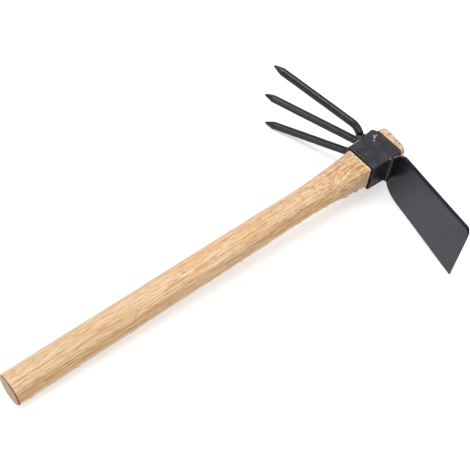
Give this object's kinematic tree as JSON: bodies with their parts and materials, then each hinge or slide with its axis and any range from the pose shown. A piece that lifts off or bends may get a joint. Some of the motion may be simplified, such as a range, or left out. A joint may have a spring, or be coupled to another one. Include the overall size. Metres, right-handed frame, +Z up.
{
  "type": "double hoe",
  "caption": "Short-handled garden double hoe: a flat blade and a fork of round tines welded to opposite sides of a steel eye on a wooden handle",
  "frame": {"origin": "on the ground under the middle of the tool's bounding box, with the tool lying down", "axes": "+X along the handle towards the head, +Y towards the fork, +Z up from the ground; the tool rests on the blade's lower corner, the lower tine's tip and the handle's butt"},
  "size_m": [0.431, 0.2524, 0.083],
  "materials": {
    "pale_wood": "turned and sanded pale hardwood, clear coated, with straight brown grain",
    "black_steel": "black paint on mild steel, satin",
    "weld_metal": "black paint over rippled weld beads",
    "wedge_steel": "plain driven steel"
  },
  "bodies": {
    "root": {"handle": "pale_wood", "wedge": "wedge_steel", "eye": "black_steel", "blade": "black_steel", "centre_tine": "black_steel", "upper_side_tine": "black_steel", "lower_side_tine": "black_steel", "blade_weld_inner": "weld_metal", "blade_weld_outer": "weld_metal", "fork_weld_back": "weld_metal", "fork_weld_front": "weld_metal"}
  },
  "joints": []
}
